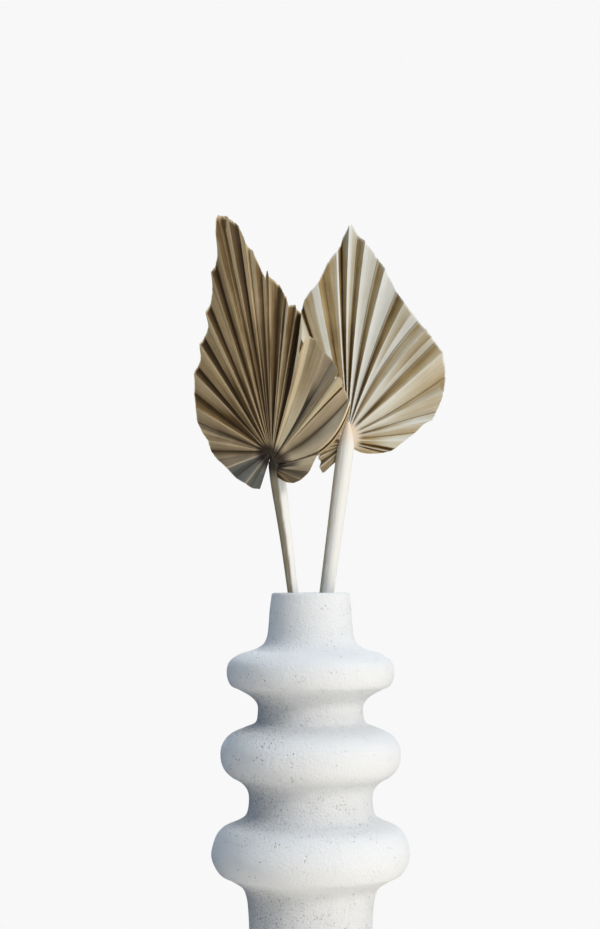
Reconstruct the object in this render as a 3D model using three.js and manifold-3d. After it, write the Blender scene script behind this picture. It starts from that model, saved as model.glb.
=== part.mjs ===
// Two trimmed, dried fan palm leaves standing in a ringed ceramic vase.
// Millimetres, +Z up, seen from the -Y side. The origin is the middle of the vase's flat bottom.

import * as THREE from 'three';
import { mergeVertices } from 'three/addons/utils/BufferGeometryUtils.js';
import Module from 'manifold-3d';

const wasm = await Module();
wasm.setup();

// Vase
const WALL = 3.8;
const FLOOR = 5;
const BOTTOM_EDGE = 1.2;
const WALL_STEPS = 58;
const LIP_STEPS = 5;
const TURN_STEPS = 40;
// Outside of the wall from the foot to the lip: radius and height along the foot, three rings and the neck
const FOOT = [[40, BOTTOM_EDGE], [40, 20], [40.5, 32], [41.6, 41.7], [44.7, 48.9]];
const LOW_RING = [
  [52.7, 54.3], [59.9, 58.4], [64.7, 68.5], [62.7, 79.5], [57.8, 86.7], [47.7, 91.4], [42.3, 95.5],
];
const MIDDLE_RING = [
  [40.5, 103], [41.1, 110.7], [45.2, 116.3], [52.2, 120.5], [56.8, 125.5],
  [58.9, 132.6], [57.9, 140.8], [52.5, 147.7], [42.9, 152.1], [36.2, 155.2],
];
const TOP_RING = [
  [34.6, 160.5], [34.8, 167.1], [39.1, 172.3], [46.5, 176.6], [52.3, 179.7],
  [54.8, 187], [53.2, 194.8], [46.4, 199.8], [36.6, 202.9], [31.2, 206.2],
];
const NECK = [[28.6, 211], [27.6, 218], [26.9, 228], [25.7, 238.1]];

// Leaves
const BLADE_THICKNESS = 1.4;
const STALK_SIDES = 14;
const STALK_DEPTH = 0.86;
// Shares of a fold's length at which the blade has a ring of points
const BLADE_RINGS = [0.08, 0.18, 0.3, 0.44, 0.6, 0.8, 1];

// A fold runs straight from the head of the stalk to the trimmed margin. Each row gives where it ends, in mm
// from the head: across to the right, up, and how far it stands out of the leaf's plane towards the front.
// A fourth number bows the fold's middle clockwise. Rows between two folds are corners of the margin.
// The plane leans by `lean` and arches back by `arch` 100 mm out. The folds start from a short crown, moved by
// each fan's own `start`: to the right, to the front and up.
const LEFT_LEAF = {
  name: 'palm_leaf_left',
  head: [-25.5, -20, 328],
  lean: 0.4,
  arch: 3,
  crown: [2.6, -3.6, 0],
  // Centre and radius of the stalk from its cut end on the vase's floor to its tip behind the blade
  stalk: [
    [17.9, -4, 5.3, 3.2],
    [-11.4, -14.2, 239, 3.45],
    [-21.4, -17.2, 314, 5.1],
    [-22.9, -17.2, 327, 3.7],
    [-23.6, -16.8, 338, 1.2],
  ],
  fans: [
    { start: [0, 0, 0], folds: [
      [-7.5, -20.5, -3], [-13, -20, -3], [-17, -17, -1], [-24, -12.5, -3.5], [-29.5, -6.5, 1],
      [-36, -0.5, 0], [-40, 5, -2.5], [-42, 12, 1.5], [-45.5, 16.5, 0.5], [-49.5, 24.5, -2.5],
      [-50.5, 34, 2], [-51.5, 43.5, -1.5], [-51.5, 57, 3], [-49.5, 61.5, -1.5], [-47, 67.5, -1],
      [-48, 76.5, 3], [-45, 80.5, -1.5], [-42, 87, -0.7], [-44, 97.5, 2.7], [-41.3, 102.5, -1.5],
      [-39.3, 112.5, 0.3], [-40.5, 124, 2.3], [-37.3, 129.5, -1.5], [-36, 137, 1], [-37.8, 151.5, 2.2],
      [-36.8, 162.8, 1], [-33.1, 163.1, -2], [-29.4, 160.5, 2.5], [-22.4, 155.4, -2],
      [-18.9, 147.5, -0.2], [-17.7, 143, 0.6], [-15.4, 139.4, -1], [-12, 135.6, 1], [-6.3, 122.3, -1.2],
      [-4.3, 117.7, 1.2], [-3.1, 124, 0], [-1.8, 119.2, 0.5], [5, 113.5, -2.5], [8, 107.2, 1],
      [9.8, 104.5, -0.5], [11, 98.5, 1.5], [15.5, 99.5, 0], [16.3, 96.5, 1.5], [19, 94, -3],
      [17.3, 63.8, 3.7, -0.2], [22.3, 76.9, 4.5, 0.9], [25.8, 76.7, 4.3, 2.3], [28.6, 74.7, 5, 2],
      [33.8, 66.4, 7.5, 3.1], [39.7, 60.2, 6.2, 0.8], [42.3, 55.4, 7.5, 0.5], [42.9, 52.8, 8],
      [40.3, 47.8, 7.5, 0.6], [43.6, 49.7, 10, 0.9], [46, 46.3, 10], [44.9, 43.3, 9.3, -0.4],
      [46.7, 42.4, 9.4, -0.7], [49.7, 34.9, 6.5, 2.6], [49.9, 33.3, 8.5, 11.8], [50.5, 32.4, 7, 12.1],
      [50.3, 29.6, 7.6, 12.3], [50.4, 27.1, 6.5, 12.4],
    ] },
    { start: [-1.4, -0.6, -3.6], folds: [
      [34, 13, -0.5], [35, 8.5, 1], [31, 3, 3.5], [29.7, 0.2, 5], [26.9, -5.7, 4], [24.4, -10.6, 1.5],
      [19.2, -15.5, 3], [14.4, -17.5, 2.5], [9.6, -16.8, 1], [4.2, -13.4, 0],
    ] },
  ],
};
const RIGHT_LEAF = {
  name: 'palm_leaf_right',
  head: [25.1, 17.5, 349],
  lean: -0.15,
  arch: 4,
  crown: [3, 0, 12],
  stalk: [
    [-19.3, 4, 5.3, 4.4],
    [10.6, 13, 239, 4.8],
    [21.8, 16.4, 324, 5.6],
    [24.1, 16.8, 341, 4.6],
    [25.2, 17, 354, 1.2],
  ],
  fans: [
    { start: [0, 0, 0], folds: [
      [-8.3, -21.9, -1], [-11.8, -25, -0.8], [-16.8, -30, 0], [-19.2, -25.7, 1], [-18, -21.7, -1.5],
      [-20.2, -19.3, 0.2], [-18.4, -16.2, -0.2], [-17.2, -14.3, 0.5], [-15.8, -12.3, -1],
      [-14.5, -10.3, 0], [-20, -7, -1.5], [-28, -3.5, 1.5], [-33, 4, -2], [-37.5, 13, 2], [-40, 22, -2],
      [-42.5, 32, 2], [-42.5, 41.5, -2], [-41, 51, 2], [-38.5, 61, -2], [-36, 70, 2],
      [-31.1, 79.6, -1.8, -1], [-30.1, 83.1, -0.4, -1.2], [-28.8, 88.3, 0, -1], [-25.1, 93.4, 0.6, -1],
      [-20, 98.9, 1, -0.8], [-18.5, 102.3, 0, -0.2], [-17, 105.7, -1], [-12.3, 114.8, -0.2, -0.4],
      [-7.5, 120.7, 0.8, -1.1], [-6.3, 122.3, 0.9, -1], [-4.2, 125.7, -1.7, -1],
      [-3.8, 129, -1.5, -1.1], [1.2, 138.5, 2.5, -1.4], [3.2, 140.3, 1.5, -1.5],
      [7.5, 132.8, -2.5, -1.7], [12, 127.8, 2.5, -1.2], [21.1, 116.1, -2.5, -1.9],
      [25.4, 109.5, 2.5, -1], [33.6, 94.3, -2.5, -1.8], [38.7, 86.3, 2.5, -1.8], [43.6, 80.6, 0, -2.8],
      [48, 74.8, -2.5, -4.3], [53.5, 68.3, 2.3, -2.7], [56.8, 63.8, 0.3, -1.8], [59.5, 60.6, -2.3, -1],
      [64.8, 53, 2.3, -0.1], [66.8, 36.6, -1.8, 1.9], [65, 26.2, 1.8, -0.2], [62.6, 18.2, 0, -0.3],
      [59.9, 12.8, -1.5, -0.5], [57, 6.9, 1.5, -0.2], [51.5, 4.4, 0.5, 0.2], [46.2, -1.3, -1.5, 0.6],
      [38.6, -7.2, 1.5, 0.4], [31.8, -12.6, 0.5, -0.6], [29.7, -13.8, -1.5, 0.1],
      [27.3, -14.7, 0.5, 0.4], [25.2, -15.1, -0.9, 0.8], [20.6, -16, 0.6], [13.2, -16.2, 0],
      [8.1, -15.2, -0.5],
    ] },
  ],
};

function closedGeometry(positions, triangles) {
  const geometry = new THREE.BufferGeometry();
  geometry.setAttribute('position', new THREE.Float32BufferAttribute(positions.flat(), 3));
  geometry.setIndex(triangles.flat());
  return geometry;
}

function toSolid(geometry) {
  const bare = geometry.clone();
  bare.deleteAttribute('normal');
  bare.deleteAttribute('uv');
  const merged = mergeVertices(bare, 1e-4);
  return new wasm.Manifold(new wasm.Mesh({
    numProp: 3,
    vertProperties: new Float32Array(merged.attributes.position.array),
    triVerts: new Uint32Array(merged.index.array),
  }));
}

// Joins closed bodies that sink into each other into one
function fuse(geometries) {
  const joined = geometries.map(toSolid).reduce((whole, piece) => whole.add(piece));
  const mesh = joined.getMesh();
  const geometry = new THREE.BufferGeometry();
  geometry.setAttribute('position', new THREE.BufferAttribute(new Float32Array(mesh.vertProperties), 3));
  geometry.setIndex(new THREE.BufferAttribute(new Uint32Array(mesh.triVerts), 1));
  return geometry;
}

function node(name, geometry, colour, roughness) {
  const flat = geometry.index ? geometry.toNonIndexed() : geometry;
  flat.computeVertexNormals();
  const finish = new THREE.MeshStandardMaterial({ color: colour, roughness, metalness: 0 });
  const mesh = new THREE.Mesh(flat, finish);
  mesh.name = name;
  return mesh;
}

// The wall's inside is its outside moved in by the wall's thickness, square to the outline
function vase() {
  const outline = [FOOT, LOW_RING, MIDDLE_RING, TOP_RING, NECK].flat();
  const outside = new THREE.SplineCurve(outline.map(([r, z]) => new THREE.Vector2(r, z)))
    .getSpacedPoints(WALL_STEPS);
  const moveIn = (point, i) => {
    const along = outside[i + 1].clone().sub(outside[i - 1]).normalize();
    return new THREE.Vector2(point.x - along.y * WALL, point.y + along.x * WALL);
  };
  const inside = outside
    .slice(1, -1)
    .map((point, i) => moveIn(point, i + 1))
    .filter((point, i) => i % 2 === 1 && point.y > 2 * FLOOR);

  const top = outside.at(-1);
  const lip = [];
  for (let i = 1; i <= LIP_STEPS; i++) {
    const turn = (Math.PI * i) / LIP_STEPS;
    const reach = (WALL / 2) * (Math.cos(turn) - 1);
    lip.push(new THREE.Vector2(top.x + reach, top.y + (WALL / 2) * Math.sin(turn)));
  }

  const profile = [
    new THREE.Vector2(0, 0),
    new THREE.Vector2(FOOT[0][0] - BOTTOM_EDGE, 0),
    ...outside,
    ...lip,
    ...inside.reverse(),
    new THREE.Vector2(FOOT[0][0] - WALL - BOTTOM_EDGE, FLOOR),
    new THREE.Vector2(0, FLOOR),
  ];
  const turned = new THREE.LatheGeometry(profile, TURN_STEPS);
  turned.rotateX(Math.PI / 2);
  return fuse([turned]);
}

// Point of a fold: share 0 is the crown and 1 the margin, a straight run plus the bow of its middle
function foldPoint(leaf, fan, fold, share) {
  const [across, up, rise, bow = 0] = fold;
  const [crownAcross, crownUp, crownDrop] = leaf.crown;
  const reach = Math.hypot(across, up);
  const side = across / reach;
  const height = up / reach;
  const startAcross = fan.start[0] + side * Math.abs(side) * crownAcross;
  const startUp = fan.start[2] + side * crownUp - ((1 - height) / 2) * crownDrop;
  const aside = 4 * share * (1 - share) * bow;
  const x = THREE.MathUtils.lerp(startAcross, across, share) + aside * height;
  const z = THREE.MathUtils.lerp(startUp, up, share) - aside * side;
  const plane = leaf.lean * x - (leaf.arch * (x * x + z * z)) / 1e4;
  const forward = plane + THREE.MathUtils.lerp(fan.start[1], rise, share);
  return [leaf.head[0] + x, leaf.head[1] - forward, leaf.head[2] + z];
}

// A fan of facets between neighbouring folds, split alike on its front and back, closed along its edges
function pleatedFan(leaf, fan) {
  const { start, folds } = fan;
  const rings = BLADE_RINGS.length;
  const perFace = 1 + folds.length * rings;
  const middle = [[leaf.head[0] + start[0], leaf.head[1] - start[1], leaf.head[2] + start[2]]];
  for (const fold of folds) {
    for (const share of BLADE_RINGS) {
      middle.push(foldPoint(leaf, fan, fold, share));
    }
  }
  const moved = (side) => middle.map(([x, y, z]) => [x, y + (side * BLADE_THICKNESS) / 2, z]);
  const positions = [...moved(-1), ...moved(1)];

  const facets = [];
  const at = (k, i) => 1 + k * rings + i;
  for (let k = 0; k < folds.length - 1; k++) {
    facets.push([0, at(k, 0), at(k + 1, 0)]);
    for (let i = 0; i < rings - 1; i++) {
      facets.push([at(k, i), at(k, i + 1), at(k + 1, i + 1)]);
      facets.push([at(k, i), at(k + 1, i + 1), at(k + 1, i)]);
    }
  }
  const last = folds.length - 1;
  const firstFold = [0, ...BLADE_RINGS.map((_, i) => at(0, i))];
  const margin = folds.map((_, k) => at(k, rings - 1));
  const lastFold = [0, ...BLADE_RINGS.map((_, i) => at(last, i))].reverse();
  const border = [...firstFold, ...margin.slice(1), ...lastFold.slice(1)];

  const triangles = [];
  for (const [a, b, c] of facets) {
    triangles.push([a, c, b], [a + perFace, b + perFace, c + perFace]);
  }
  for (let i = 0; i < border.length - 1; i++) {
    const [a, b] = [border[i], border[i + 1]];
    triangles.push([a, b, b + perFace], [a, b + perFace, a + perFace]);
  }
  return closedGeometry(positions, triangles);
}

// Level oval rings round a centre line that passes the given centres, closed at both ends
function stalk(leaf) {
  const stations = leaf.stalk;
  const positions = stations.flatMap(([x, y, z, radius]) => {
    const ring = [];
    for (let i = 0; i < STALK_SIDES; i++) {
      const turn = (2 * Math.PI * i) / STALK_SIDES;
      ring.push([x + radius * Math.cos(turn), y + radius * STALK_DEPTH * Math.sin(turn), z]);
    }
    return ring;
  });
  const triangles = [];
  for (let s = 0; s < stations.length - 1; s++) {
    for (let i = 0; i < STALK_SIDES; i++) {
      const a = s * STALK_SIDES + i;
      const b = s * STALK_SIDES + ((i + 1) % STALK_SIDES);
      triangles.push([a, b, b + STALK_SIDES], [a, b + STALK_SIDES, a + STALK_SIDES]);
    }
  }
  const top = (stations.length - 1) * STALK_SIDES;
  for (let i = 1; i < STALK_SIDES - 1; i++) {
    triangles.push([0, i + 1, i], [top, top + i, top + i + 1]);
  }
  return closedGeometry(positions, triangles);
}

function palmLeaf(leaf) {
  return fuse([stalk(leaf), ...leaf.fans.map((fan) => pleatedFan(leaf, fan))]);
}

const filledVase = new THREE.Group();
filledVase.add(node('vase', vase(), 0xe6e4e0, 0.8));
filledVase.add(node(LEFT_LEAF.name, palmLeaf(LEFT_LEAF), 0x9a8560, 0.75));
filledVase.add(node(RIGHT_LEAF.name, palmLeaf(RIGHT_LEAF), 0xd2c8ae, 0.75));

export default filledVase;
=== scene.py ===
"""Two trimmed, dried fan palm leaves in a ringed ceramic vase, laid out as a Blender add-on.

Each leaf is a thin pleated sheet on its stalk, the left one with a small lobe below, and the vase is one
revolved wall. Tables are in millimetres, Blender's own lengths in metres. +Z is up and the pleats face -Y.
"""

import math

import bpy
import numpy as np
from bpy.props import FloatProperty, FloatVectorProperty, PointerProperty
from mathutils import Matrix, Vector


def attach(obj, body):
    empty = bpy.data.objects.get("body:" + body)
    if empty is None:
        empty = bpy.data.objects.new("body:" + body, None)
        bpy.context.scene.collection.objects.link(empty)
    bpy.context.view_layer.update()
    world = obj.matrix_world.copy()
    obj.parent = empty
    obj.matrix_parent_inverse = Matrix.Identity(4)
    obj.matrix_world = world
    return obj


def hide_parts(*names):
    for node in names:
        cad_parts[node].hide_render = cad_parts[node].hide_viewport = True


bl_info = {
    "name": "Dried palm leaves in a ringed vase",
    "version": (1, 0, 0),
    "blender": (4, 5, 0),
    "location": "View3D > Sidebar > Palm vase",
    "description": "Builds two dried fan palm leaves, their ringed vase and a pale studio",
    "category": "Add Mesh",
}

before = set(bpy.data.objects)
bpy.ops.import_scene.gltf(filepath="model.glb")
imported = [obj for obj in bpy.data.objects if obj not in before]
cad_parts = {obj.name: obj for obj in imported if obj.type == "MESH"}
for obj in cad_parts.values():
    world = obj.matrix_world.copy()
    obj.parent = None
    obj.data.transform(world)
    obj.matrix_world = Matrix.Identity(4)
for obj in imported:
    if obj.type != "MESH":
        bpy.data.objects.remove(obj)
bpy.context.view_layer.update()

MM = 0.001

# How finely the pieces are drawn
BLADE_RINGS = 64
LOBE_RINGS = 40
STALK_RINGS = 90
STALK_SIDES = 40
VASE_RINGS = 240
VASE_STEPS = 200
SOFT_TABLE_STEPS = 100

# What picks each fan's ragged margin and waves
LEFT_BLADE_SEED = 11
LEFT_LOBE_SEED = 23
RIGHT_BLADE_SEED = 37

# How far each kind of fold is rounded, as a share of the faces beside it
RIDGE_SOFTNESS = 0.05
VALLEY_SOFTNESS = 0.3
SLOPE_SOFTNESS = 0.4
LEAST_SOFTNESS = 0.001

# Where a blade has its rings: at the power RING_SPACING of even shares of its folds, and at HUB_SHARES of the
# way from its hub to where the folds start
RING_SPACING = 0.9
HUB_SHARES = (0.03, 0.35, 0.7)

# How uneven a blade is: its margin by shares of its reach, its faces by half waves of a height in millimetres
COARSE_RAGGEDNESS = 0.004
FINE_RAGGEDNESS = 0.003
WAVE_HEIGHT = 0.5
HALF_WAVES = 2.5

# How a blade's tones spread: over shares of a face's width, shares of a fold's length, and millimetres
FACE_BLEND = 0.16
HUB_TONE_UNTIL = 0.25
MARGIN_TONE_FROM = 0.8
FULL_HOLLOW = 3.5
CREST_WIDTH = 0.38
CREASE_WIDTH = 0.6

# Millimetres of a blade to one unit of its fibres' coordinates, and the angles (degrees) of sharp edges
MM_PER_UNIT = 100
BLADE_SHARP_ANGLE = 38
SHARP_ANGLE = 50

# A stalk's depth as a share of its width
STALK_DEPTH = 0.86

# Outside of the vase's wall from the foot to the lip: radius and height
VASE_PROFILE = [
    (40, 1.2), (40, 20), (40.5, 32), (41.6, 41.7), (44.7, 48.9),
    (52.7, 54.3), (59.9, 58.4), (64.7, 68.5), (62.7, 79.5), (57.8, 86.7), (47.7, 91.4), (42.3, 95.5),
    (40.5, 103), (41.1, 110.7), (45.2, 116.3), (52.2, 120.5), (56.8, 125.5),
    (58.9, 132.6), (57.9, 140.8), (52.5, 147.7), (42.9, 152.1), (36.2, 155.2),
    (34.6, 160.5), (34.8, 167.1), (39.1, 172.3), (46.5, 176.6), (52.3, 179.7),
    (54.8, 187), (53.2, 194.8), (46.4, 199.8), (36.6, 202.9), (31.2, 206.2),
    (28.6, 211), (27.6, 218), (26.9, 228), (25.7, 238.1),
]

# The vase's bottom has a ring of points in its flat middle and a rounded edge. Inside, the floor has its own
# radii and heights, and the wall follows the outside from a height above it
BOTTOM_MIDDLE = 20
BOTTOM_EDGE = 1.2
EDGE_POINTS = 5
LIP_POINTS = 9
FLOOR_PROFILE = [(35, 5.4), (33, 5), (16, 5)]
INSIDE_FROM = 9

# The radius from which the vase is even, a line over the crests of its rings (height and radius), and how
# deep below that line a groove is at its fullest
WIDEST_RING = 64.4
CREST_LINE = [(0, 44), (20, 50), (68, 64), (132, 58.5), (187, 54.5), (212, 31), (240, 25)]
FULL_GROOVE = 14

# A leaf's "head" is where its blade begins, and "lean" and "arch" tilt and bend the blade. "crown" is how far
# from the hub the folds start: to the side they point to, up on the right, and down where they point down.
# Its "stalk" is stations on the stalk's line: x, y, z and radius. A fan's "start" is its hub: across, forward
# and up from the head.
#
# A fold's row: where it ends, across and up from the head, how far it stands out to the front, the tone of
# the next face clockwise at the margin (0 to 1), partly how bleached it is and partly painted shade, and,
# where the fold isn't straight, how far its middle bows. A fan's "inner" names the faces that are darker or
# paler towards the hub, with that tone (below 0 where the face stays dark far out), and "tint" those that are
# warmer (above 0) or greyer (below 0). These tones and tints are partly the leaf's own colour and partly
# painted shade, the darkest faces standing for the shadow deep in the folds.
LEFT_LEAF = {
    "head": (-25.5, -20, 328),
    "lean": 0.4,
    "arch": 3,
    "crown": (2.6, -3.6, 0),
    "stalk": [
        (17.9, -4, 5.3, 3.2), (-11.4, -14.2, 239, 3.45), (-21.4, -17.2, 314, 5.1), (-22.9, -17.2, 327, 3.7),
        (-23.6, -16.8, 338, 1.2),
    ],
    "fans": [
        {"start": (0, 0, 0), "folds": [
            (-7.5, -20.5, -3, .34), (-13, -20, -3, .14), (-17, -17, -1, .42), (-24, -12.5, -3.5, .22),
            (-29.5, -6.5, 1, .38), (-36, -0.5, 0, .55), (-40, 5, -2.5, .6), (-42, 12, 1.5, .41),
            (-45.5, 16.5, .5, .62), (-49.5, 24.5, -2.5, .65), (-50.5, 34, 2, .4), (-51.5, 43.5, -1.5, .7),
            (-51.5, 57, 3, .17), (-49.5, 61.5, -1.5, .76), (-47, 67.5, -1, .9), (-48, 76.5, 3, .15),
            (-45, 80.5, -1.5, .75), (-42, 87, -.7, .98), (-44, 97.5, 2.7, .26), (-41.3, 102.5, -1.5, .78),
            (-39.3, 112.5, .3, .62), (-40.5, 124, 2.3, .2), (-37.3, 129.5, -1.5, .62), (-36, 137, 1, .7),
            (-37.8, 151.5, 2.2, .34), (-36.8, 162.8, 1, .6), (-33.1, 163.1, -2, 1), (-29.4, 160.5, 2.5, .24),
            (-22.4, 155.4, -2, 1), (-18.9, 147.5, -.2, .8), (-17.7, 143, .6, .6), (-15.4, 139.4, -1, .8),
            (-12, 135.6, 1, .4), (-6.3, 122.3, -1.2, .8), (-4.3, 117.7, 1.2, .36), (-3.1, 124, 0, .4),
            (-1.8, 119.2, .5, .46), (5, 113.5, -2.5, .45), (8, 107.2, 1, .22), (9.8, 104.5, -.5, 1),
            (11, 98.5, 1.5, .36), (15.5, 99.5, 0, .4), (16.3, 96.5, 1.5, .42), (19, 94, -3, .04),
            (19.1, 93.6, 3, 1, 3.1), (20.1, 81.1, 3.3, .98, 1.7), (17.3, 63.8, 3.7, .6, -.2),
            (22.3, 76.9, 4.5, .93, .9), (25.8, 76.7, 4.3, .65, 2.3), (28.6, 74.7, 5, .7, 2),
            (33.8, 66.4, 7.5, .52, 3.1), (39.7, 60.2, 6.2, .55, .8), (42.3, 55.4, 7.5, .52, .5),
            (42.9, 52.8, 8, .5), (40.3, 47.8, 7.5, .85, .6), (43.6, 49.7, 10, .95, .9),
            (46, 46.3, 10, .78), (44.9, 43.3, 9.3, .12, -.4), (46.7, 42.4, 9.4, .62, -.7),
            (49.7, 34.9, 6.5, .74, 2.6), (49.9, 33.3, 8.5, .95, 11.8), (50.5, 32.4, 7, .02, 12.1),
            (50.3, 29.6, 7.6, .6, 12.3), (50.4, 27.1, 6.5, .2, 12.4),
        ], "inner": {
            0: .52, 1: .17, 3: .2, 5: .32, 7: .36, 8: .47, 9: .52, 11: .3, 13: .62, 14: .65, 16: .43, 17: .74,
            18: .2, 19: .5, 20: .95, 21: .36, 22: .36, 23: .48, 24: .48, 26: .3, 27: .28, 28: .28, 29: .24,
            30: .4, 31: .16, 32: .06, 33: .38, 34: .2, 35: .22, 36: .22, 37: .06, 38: .45, 40: .45, 41: .6,
            42: .85, 43: .1, 44: .5, 45: .45, 46: .55, 47: .9, 48: 1.05, 49: .9, 50: -.7, 51: .3, 52: .5,
            53: .45, 54: .75, 55: .9, 57: .25, 58: .6, 59: .55, 60: .8, 62: .6,
        }, "tint": {
            0: -.8, 1: -.8, 2: -.8, 3: -.8, 4: -.4, 5: -.25, 6: -.25, 7: -.25, 8: -.25, 9: -.2, 13: .2,
            14: .4, 17: .4, 19: .2, 20: .25, 23: .4, 26: .35, 28: .3, 40: .3, 47: .2, 50: -.35, 51: -.4,
            55: .3, 56: .3, 58: -.3, 59: -.45,
        }},
        {"start": (-1.4, -.6, -3.6), "folds": [
            (34, 13, -.5, .2), (35, 8.5, 1, .42), (31, 3, 3.5, .3), (29.7, .2, 5, .7), (26.9, -5.7, 4, .65),
            (24.4, -10.6, 1.5, .32), (19.2, -15.5, 3, .31), (14.4, -17.5, 2.5, .48), (9.6, -16.8, 1, .28),
            (4.2, -13.4, 0, .2),
        ], "inner": {
            1: .3, 2: .2, 3: .02, 4: .68, 5: .25, 6: .25, 7: .42, 8: .19,
        }, "tint": {
            2: -.3, 3: -.4, 4: -.4, 5: -.35, 6: -.25,
        }},
    ],
}
RIGHT_LEAF = {
    "head": (25.1, 17.5, 349),
    "lean": -0.15,
    "arch": 4,
    "crown": (3, 0, 12),
    "stalk": [
        (-19.3, 4, 5.3, 4.4), (10.6, 13, 239, 4.8), (21.8, 16.4, 324, 5.6), (24.1, 16.8, 341, 4.6),
        (25.2, 17, 354, 1.2),
    ],
    "fans": [
        {"start": (0, 0, 0), "folds": [
            (-8.3, -21.9, -1, .28), (-11.8, -25, -.8, .25), (-16.8, -30, 0, .23), (-19.2, -25.7, 1, .15),
            (-18, -21.7, -1.5, .4), (-20.2, -19.3, .2, .1), (-18.4, -16.2, -.2, .35), (-17.2, -14.3, .5, .4),
            (-15.8, -12.3, -1, .6), (-14.5, -10.3, 0, .5), (-20, -7, -1.5, .4), (-28, -3.5, 1.5, .7),
            (-33, 4, -2, .4), (-37.5, 13, 2, .75), (-40, 22, -2, .35), (-42.5, 32, 2, .75),
            (-42.5, 41.5, -2, .35), (-41, 51, 2, .75), (-38.5, 61, -2, .35), (-36, 70, 2, .75),
            (-31.1, 79.6, -1.8, .2, -1), (-30.1, 83.1, -.4, .5, -1.2), (-28.8, 88.3, 0, .45, -1),
            (-25.1, 93.4, .6, .76, -1), (-20, 98.9, 1, .28, -.8), (-18.5, 102.3, 0, .24, -.2),
            (-17, 105.7, -1, .32), (-12.3, 114.8, -.2, .45, -.4), (-7.5, 120.7, .8, 1, -1.1),
            (-6.3, 122.3, .9, .22, -1), (-4.2, 125.7, -1.7, .25, -1), (-3.8, 129, -1.5, .45, -1.1),
            (1.2, 138.5, 2.5, .85, -1.4), (3.2, 140.3, 1.5, .74, -1.5), (7.5, 132.8, -2.5, .45, -1.7),
            (12, 127.8, 2.5, .85, -1.2), (21.1, 116.1, -2.5, .47, -1.9), (25.4, 109.5, 2.5, .96, -1),
            (33.6, 94.3, -2.5, .35, -1.8), (38.7, 86.3, 2.5, .5, -1.8), (43.6, 80.6, 0, 1, -2.8),
            (48, 74.8, -2.5, .52, -4.3), (53.5, 68.3, 2.3, .38, -2.7), (56.8, 63.8, .3, .78, -1.8),
            (59.5, 60.6, -2.3, .46, -1), (64.8, 53, 2.3, .6, -.1), (66.8, 36.6, -1.8, .54, 1.9),
            (65, 26.2, 1.8, .53, -.2), (62.6, 18.2, 0, .66, -.3), (59.9, 12.8, -1.5, .8, -.5),
            (57, 6.9, 1.5, .6, -.2), (51.5, 4.4, .5, .52, .2), (46.2, -1.3, -1.5, .75, .6),
            (38.6, -7.2, 1.5, .56, .4), (31.8, -12.6, .5, .1, -.6), (29.7, -13.8, -1.5, .5, .1),
            (27.3, -14.7, .5, .08, .4), (25.2, -15.1, -.9, .3, .8), (20.6, -16, .6, .42),
            (13.2, -16.2, 0, .42), (8.1, -15.2, -.5, .5),
        ], "inner": {
            1: .23, 2: .04, 3: .07, 4: .1, 5: .02, 6: .03, 7: .04, 8: .04, 9: .15, 10: .25, 11: .6, 12: .3,
            13: .7, 14: .3, 15: .7, 16: .3, 17: .7, 18: .3, 19: .7, 20: .2, 22: .5, 23: .9, 24: .14,
            25: .18, 26: .36, 27: .36, 30: .22, 31: .17, 32: .78, 33: .5, 34: .16, 35: 1, 36: .2, 37: 1,
            38: .17, 39: .95, 41: .45, 42: .85, 43: .88, 44: .28, 45: .8, 47: .73, 49: .3, 50: .56, 52: .42,
            53: .34, 54: .15, 55: .42, 56: .05, 57: .22, 58: .5,
        }, "tint": {
            0: -.4, 1: -.4, 2: -.4, 3: -.3, 4: -.3, 5: -.3, 23: -.3, 32: -.4, 33: -.3, 35: -.6, 37: -.8,
            39: -.5, 40: -.7, 41: -.2, 42: -.4, 43: -.4, 46: -.2, 47: -.2, 48: -.3, 49: -.3, 50: -.2, 51: -.2,
        }},
    ],
}

# Brown marks on the blades, in metres: across, up, half their width and half their height
KHAKI_SPOTS = (
    (-0.0566, 0.4842, 0.0009, 0.0032), (-0.0572, 0.4868, 0.0016, 0.0012),
)
CREAM_SPOTS = (
    (0.0333, 0.4615, 0.0013, 0.0024), (0.0893, 0.380, 0.0017, 0.0042),
)

# Shares of the way from one fold to the next at which the sheet has a column of points
COLUMN_SHARES = (0, 0.04, 0.11, 0.24, 0.42, 0.6, 0.77, 0.9, 0.97)

# Tones at which a blade has its four colours, from the deepest fold to the most bleached face
TONE_PLACES = (0, 0.28, 0.62, 1)

# What warmer faces are filtered by, and the darkest and palest colour of greyer ones. Both are partly the
# leaf's own colour and partly painted shade colour.
WARM_FILTER = (1.0, 0.86, 0.55)
GREYED = ((0.09, 0.10, 0.09), (0.66, 0.68, 0.64))

# The darkening at each hub, to its left and to its right, between which distances from it it fades out in
# millimetres, and where across, in metres, the left colour gives way to the right one. The dark colours are
# painted shade where the folds gather at the hub; the right hub's pale colour is the leaf's own.
HUB_SHADE = (0.022, 0.014, 0.008)
PALE_HUB = (0.80, 0.68, 0.54)
LEFT_HUB = {"colours": (HUB_SHADE, HUB_SHADE), "reach": (4.5, 11), "split": 0}
RIGHT_HUB = {"colours": ((0.05, 0.03, 0.012), PALE_HUB), "reach": (1, 8), "split": 0.020}

# Between which sides (-1 left, 1 right) a stalk's painted shading on its left side fades out, and between
# which
# heights the darkening at its top begins: painted shade on the left stalk, the hub's pale colour on the right
# one. The right stalk's painted shading is paler by the last factor.
LEFT_SHADING_END = (-0.2, 0.1)
LEFT_SHADE_FROM = (0.311, 0.322)
RIGHT_SHADING_END = (-0.95, -0.5)
RIGHT_STAIN_FROM = (0.333, 0.352)
RIGHT_SHADING_PALER = 2.2

# How high the relief of fibres and of the ceramic's grain stands, in metres
FIBRE_RELIEF = 0.4 * MM
GRAIN_RELIEF = 1.5 * MM

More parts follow.
